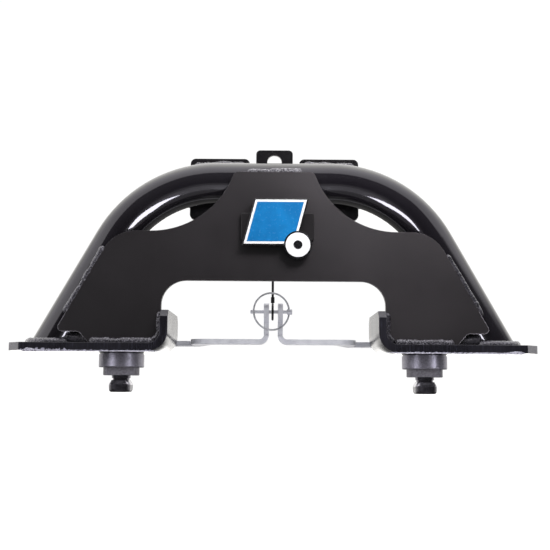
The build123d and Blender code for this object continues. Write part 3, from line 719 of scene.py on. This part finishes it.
def side_welds(sign, tag):
    left = sign < 0
    sideways = Vector((sign, 0, 0))

    def mirrored(path):
        return [(sign * x, y, z) for x, y, z in path]

    def flange_across(share):
        return sideways if share < 0.6 else Vector((sign * 0.7, 0, 0.7))

    def radial(share):
        return Vector((math.cos(2 * math.pi * share), math.sin(2 * math.pi * share), 0))

    # the right side's welds carry dimmer painted glints than the left side's
    bead(f"weld_web_leg_{tag}", mirrored(leg_weld_path(top=187 if left else 176)),
         Vector((sign * math.sin(LEG_SLOPE), 0, math.cos(LEG_SLOPE))), FRONT,
         width=5.6 if left else 4.7, height=5.4, seed=11 + sign, pitch=4.2, wobble=0.34,
         paint=WELD if left else WELD_DIM_GLINTS)
    ends = (212, 327) if left else (216, 322)
    bead(f"weld_web_foot_{tag}", mirrored([(x, FOOT_WELD_Y, FOOT_WELD_Z) for x in ends]),
         UP, FRONT, width=7.6, height=5.2, seed=21 + sign, pitch=4.6, wobble=0.28)
    # run-out of the foot weld behind the web's toe
    bead(f"weld_web_toe_{tag}",
         mirrored([(326, -58.5, 17.0), (343, -57.5, 20.5), (360, -57.0, 23.0),
                   (370.5, -57.0, 25.0)]),
         UP, FRONT, width=8.5, height=6.6, seed=81 + sign, pitch=4.0, wobble=0.12, taper=2.5,
         paint=WELD_DIM_GLINTS)
    # web to the upturned flange, down into the bend
    bead(f"weld_web_flange_{tag}", mirrored(flange_weld_path()), flange_across, FRONT,
         width=5.4, height=4.8, seed=31 + sign, pitch=3.6, paint=WELD if left else WELD_DIM_GLINTS)
    # tube to foot, all round its base, then a second bead on the outer side
    bead(f"weld_tube_foot_{tag}", tube_weld_path(sign), radial, UP,
         width=6.4, height=7.8, seed=41 + sign, pitch=4.8, closed=True, wobble=0.20)
    angles = [math.radians(degrees) for degrees in range(-75, 76, 15)]
    bead(f"weld_tube_outer_{tag}",
         mirrored([(440 + 3 * math.cos(angle), TUBE_Y + 28 * math.sin(angle), 14.6)
                   for angle in angles]),
         sideways, UP, width=6.0, height=4.6, seed=91 + sign, pitch=4.4, wobble=0.4, taper=14)
    # head bracket to the top of the tube
    bead(f"weld_bracket_{tag}",
         mirrored([(53, 11.0, 351.5), (103, 11.0, 351.5), (153, 11.0, 350.0)]),
         SHOULDER_UP, SHOULDER_OUT, width=13.5, height=7.5, seed=51 + sign, pitch=5.0, taper=7)


cut_lip("cut_lip_left", -1, seed=301)
cut_lip("cut_lip_right", 1, seed=302)
for sign, tag in SIDES:
    side_welds(sign, tag)
# the welds on top of the web carry brighter painted glints
bead("weld_web_top_a", [(-49, -62.6, 328.3), (-7, -62.6, 328.3)], UP, FRONT,
     width=4.6, height=4.4, seed=61, pitch=3.8, wobble=0.3, paint=WELD_BRIGHT_GLINTS)
bead("weld_web_top_b", [(-9, -62.8, 328.8), (50, -62.8, 328.8)], UP, FRONT,
     width=5.8, height=5.0, seed=64, pitch=4.4, wobble=0.34, paint=WELD_BRIGHT_GLINTS)
bead("weld_lift_tab", [(-31, 12.0, 350.5), (31, 12.0, 350.5)], SHOULDER_UP, SHOULDER_OUT,
     width=9.0, height=6.5, seed=71, pitch=4.4, taper=7)


# ------------------------------------------------------------------ floor
FLOOR_REACH = 14.0
FLOOR_GAP = 0.0004


def floor():
    mesh = bpy.data.meshes.new("floor")
    corners = ((-1, -1), (1, -1), (1, 1), (-1, 1))
    z = CAD_LO.z - FLOOR_GAP
    mesh.from_pydata([(x * FLOOR_REACH, y * FLOOR_REACH, z) for x, y in corners],
                     [], [(0, 1, 2, 3)])
    made = bpy.data.objects.new("floor", mesh)
    SCENE.collection.objects.link(made)
    net = Net(bpy.data.materials.new("pale_floor"))
    diffuse = net.node("BsdfDiffuse", {"Color": (0.80, 0.80, 0.80)})
    # a glow that only the camera sees lifts the floor towards white
    seen = net.node("LightPath").outputs["Is Camera Ray"]
    glow = net.node("Emission", {"Color": (1, 1, 1), "Strength": net.times(seen, 0.55)})
    both = net.node("AddShader", {0: diffuse.outputs[0], 1: glow.outputs[0]})
    net.node("OutputMaterial", {"Surface": both.outputs[0]})
    mesh.materials.append(net.owner)
    made.visible_glossy = False


floor()


# ------------------------------------------------------------------ world
def studio():
    """White to the camera; to the object a white tent with a dim front opening."""
    world = bpy.data.worlds.new("studio")
    SCENE.world = world
    net = Net(world, "Generated")
    x, y, z = net.axes()
    # azimuth: 0 towards the front, 180 degrees behind, alike on both sides
    azimuth = net.math("ARCTAN2", net.size(x), net.times(y, -1.0))

    def turned(start, end):
        return net.smooth(azimuth, over=(math.radians(start), math.radians(end)))

    opening = net.smooth(z, over=(-0.10, 0.66), to=(0.060, 0.19))
    # side panels, which start lower on the left than on the right
    on_left = net.smooth(x, over=(0.05, -0.05))
    panel_foot = net.mix(on_left, net.smooth(z, over=(0.40, 0.50)),
                         net.smooth(z, over=(0.08, 0.17)))
    panels = net.times(turned(38, 43), panel_foot)
    level = net.mix(panels, opening, net.linear(z, to=(2.0, 1.7), over=(0.1, 0.7)))
    # back wall, then the roof
    level = net.mix(turned(96, 112), level, net.smooth(z, over=(-0.06, 0.10), to=(2.3, 1.3)))
    roof = net.smooth(net.plus(z, net.times(net.size(x), 0.30)), over=(0.775, 0.80))
    level = net.mix(roof, level, net.linear(z, to=(1.75, 2.5), over=(0.74, 1.0)))
    # the ground in front shows in reflections only, and diffuse light is held down
    diffuse = net.node("LightPath").outputs["Is Diffuse Ray"]
    sharp = net.math("SUBTRACT", 1.0, diffuse)
    below = net.times(net.smooth(z, over=(-0.12, -0.26)), turned(70, 50))
    level = net.mix(below, level, net.times(0.42, sharp))
    level = net.times(level, net.linear(diffuse, to=(1.0, 0.40)))
    # the ground beside and behind the object is in its own shade
    shade = net.times(net.smooth(z, over=(-0.10, -0.30)), turned(60, 80))
    level = net.times(level, net.linear(net.times(shade, sharp), to=(1.0, 0.11)))
    colour = net.mix(turned(90, 115), (0.965, 0.94, 1.0), (1.0, 0.985, 0.965))
    tent = net.node("Background", {"Color": colour, "Strength": level})
    white = net.node("Background", {"Color": (1, 1, 1), "Strength": 1.02})
    seen = net.node("LightPath").outputs["Is Camera Ray"]
    shader = net.node("MixShader", {0: seen, 1: tent.outputs[0], 2: white.outputs[0]})
    net.node("OutputWorld", {"Surface": shader.outputs[0]})


studio()


# ------------------------------------------------------------------ lights
def area(name, place, aim, size, watts, colour=(1, 1, 1), receivers=None,
         glossy=True, diffuse=True, shadow=True):
    """Rectangular lamp; receivers is the collection it lights, everything if None."""
    lamp = bpy.data.lights.new(name, "AREA")
    lamp.shape = "RECTANGLE"
    lamp.size, lamp.size_y = size
    lamp.energy = watts
    lamp.color = colour
    lamp.use_shadow = shadow
    made = bpy.data.objects.new(name, lamp)
    SCENE.collection.objects.link(made)
    made.location = place
    made.rotation_mode = "QUATERNION"
    made.rotation_quaternion = (Vector(aim) - Vector(place)).to_track_quat("-Z", "Y")
    made.visible_glossy = glossy
    made.visible_diffuse = diffuse
    made.visible_camera = False
    if receivers:
        made.light_linking.receiver_collection = receivers


def group(name, members):
    made = bpy.data.collections.new(name)
    SCENE.collection.children.link(made)
    for member in members:
        made.objects.link(member)
    return made


web = NODES["web_plate"]
not_web = group("not_web", [item for item in SCENE.objects
                            if item.type == "MESH" and item != web])
zinc_only = group("zinc_only", [NODES[name] for name in (
    "left_lock_handle", "right_lock_handle", "lock_pin", "pin_ring")])
web_only = group("web_only", [web])
tube_only = group("tube_only", [NODES["arch_tube"]])
collars = group("turned_parts", [NODES["left_puck_collar"], NODES["right_puck_collar"]])
heads = group("t_heads", [NODES["left_anchor"], NODES["right_anchor"]])

# broad front fill that lights colour without showing in the gloss
area("front_fill", place=(0.3, -3.2, 1.2), aim=(0, 0, 0.12), size=(3.2, 2.2), watts=10,
     glossy=False)
area("near_key", place=(0.17, -0.46, 0.56), aim=(0.06, 0, 0.22), size=(0.30, 0.22),
     watts=2.6, glossy=False, receivers=not_web)
area("zinc_fill", place=(0, -1.25, 0.12), aim=(0, 0, 0.03), size=(0.9, 0.3), watts=3.0,
     glossy=False, receivers=zinc_only)
# a soft card above right, close enough to fade across the flat web
area("web_key", place=(0.34, -0.54, 0.68), aim=(0.09, -0.07, 0.24), size=(0.42, 0.26),
     watts=7.4, colour=(1.0, 0.93, 0.99), receivers=web_only)
area("top_soft", place=(0.0, 0.1, 2.6), aim=(0, 0, 0), size=(3.0, 2.4), watts=12,
     glossy=False)

# bright cards low in front, mirrored only by the tube's gloss coat; x, width, watts
LOW_CARDS = {-1: (0.51, 0.38, 25.0), 1: (0.63, 0.62, 41.0)}
for sign, tag in SIDES:
    card_x, card_width, card_watts = LOW_CARDS[sign]
    area(f"low_card_{tag}", place=(sign * card_x, -1.61, -0.76),
         aim=(-sign * 0.22, -0.05, 0.25), size=(card_width, 0.84), watts=card_watts,
         colour=(0.90, 0.88, 1.0), receivers=tube_only, diffuse=False, shadow=False)
    area(f"mid_card_{tag}", place=(sign * 0.12, -1.61, -0.72), aim=(0, -0.05, 0.25),
         size=(0.24, 0.81), watts=0.30, colour=(0.92, 0.89, 1.0), receivers=tube_only,
         diffuse=False, shadow=False)
# two tall strips for the collars alone
for sign, tag in SIDES:
    area(f"strip_{tag}", place=(sign * 1.55, -1.55, 0.1), aim=(0, 0, 0), size=(0.30, 1.5),
         watts=24.0, colour=(0.93, 0.92, 1.0), receivers=collars)
# cards for the shoulders of the T-heads; without shadow, so the foot doesn't block them
for sign, tag in SIDES:
    area(f"head_card_{tag}", place=(sign * 1.25, -0.25, 1.70), aim=(0, 0, -0.055),
         size=(0.95, 0.95), watts=2.4, colour=(0.95, 0.93, 1.0), receivers=heads,
         shadow=False)


# ------------------------------------------------------------------ camera and render
CAMERA_PLACE = (0.0025, -1.6984, -0.06327)
CAMERA_TILT = math.radians(7.0295774)     # upwards
CAMERA_ROLL = math.radians(0.40)


def camera():
    """Low in front, looking slightly up."""
    lens = bpy.data.cameras.new("camera")
    lens.sensor_fit = "HORIZONTAL"
    lens.sensor_width = 36.0
    lens.lens = 59.9825455
    lens.clip_start = 0.05
    lens.clip_end = 60
    made = bpy.data.objects.new("camera", lens)
    SCENE.collection.objects.link(made)
    ahead = Vector((0, math.cos(CAMERA_TILT), math.sin(CAMERA_TILT)))
    level_up = Vector((0, -math.sin(CAMERA_TILT), math.cos(CAMERA_TILT)))
    level_right = Vector((1, 0, 0))
    right = level_right * math.cos(CAMERA_ROLL) + level_up * math.sin(CAMERA_ROLL)
    up = level_up * math.cos(CAMERA_ROLL) - level_right * math.sin(CAMERA_ROLL)
    rows = [(right[i], up[i], -ahead[i], CAMERA_PLACE[i]) for i in range(3)]
    made.matrix_world = Matrix((*rows, (0, 0, 0, 1)))
    SCENE.camera = made


camera()
SCENE.view_settings.view_transform = "Standard"
SCENE.view_settings.look = "None"
SCENE.view_settings.exposure = 0.0
SCENE.view_settings.gamma = 1.0
